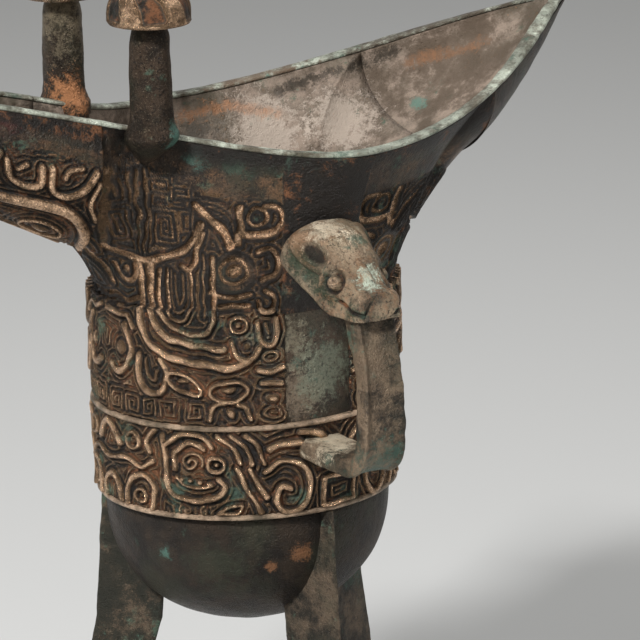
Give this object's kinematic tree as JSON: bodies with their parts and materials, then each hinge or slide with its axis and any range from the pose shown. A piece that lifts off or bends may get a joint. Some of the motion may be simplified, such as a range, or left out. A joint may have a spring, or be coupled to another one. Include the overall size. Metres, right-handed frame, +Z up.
{
  "type": "jue wine vessel",
  "caption": "Bronze jue: a three-legged wine vessel with a spout, a pointed tail, capped posts, a side handle with an animal head, and cast bands of masks and dragons.",
  "frame": {"origin": "middle of the footprint of the whole vessel, on the surface under its feet", "axes": "+X from the spout to the tail, -Y to the handle, +Z up"},
  "size_m": [0.1724, 0.0948, 0.2155],
  "materials": {
    "dark_bronze": "dark brown patina with green corrosion",
    "worn_relief": "raised ornament with worn pale edges and ochre earth in the recesses",
    "green_patina": "rough green malachite corrosion",
    "pale_lip": "pale mint corrosion, rubbed"
  },
  "bodies": {
    "root": {"cup_bowl": "dark_bronze", "cup_wall": "dark_bronze", "flared_mouth": "dark_bronze", "tail": "dark_bronze", "spout": "dark_bronze", "post_handle_side": "dark_bronze", "post_far_side": "dark_bronze", "leg_handle_side": "dark_bronze", "leg_tail_side": "dark_bronze", "leg_spout_side": "dark_bronze", "upper_mask_band": "worn_relief", "lower_dragon_band": "worn_relief", "middle_ring": "worn_relief", "lower_ring": "worn_relief", "handle_head": "worn_relief", "cap_handle_side": "worn_relief", "cap_far_side": "worn_relief", "handle_strap": "green_patina", "mouth_lip": "pale_lip", "spout_lip": "pale_lip"}
  },
  "joints": []
}
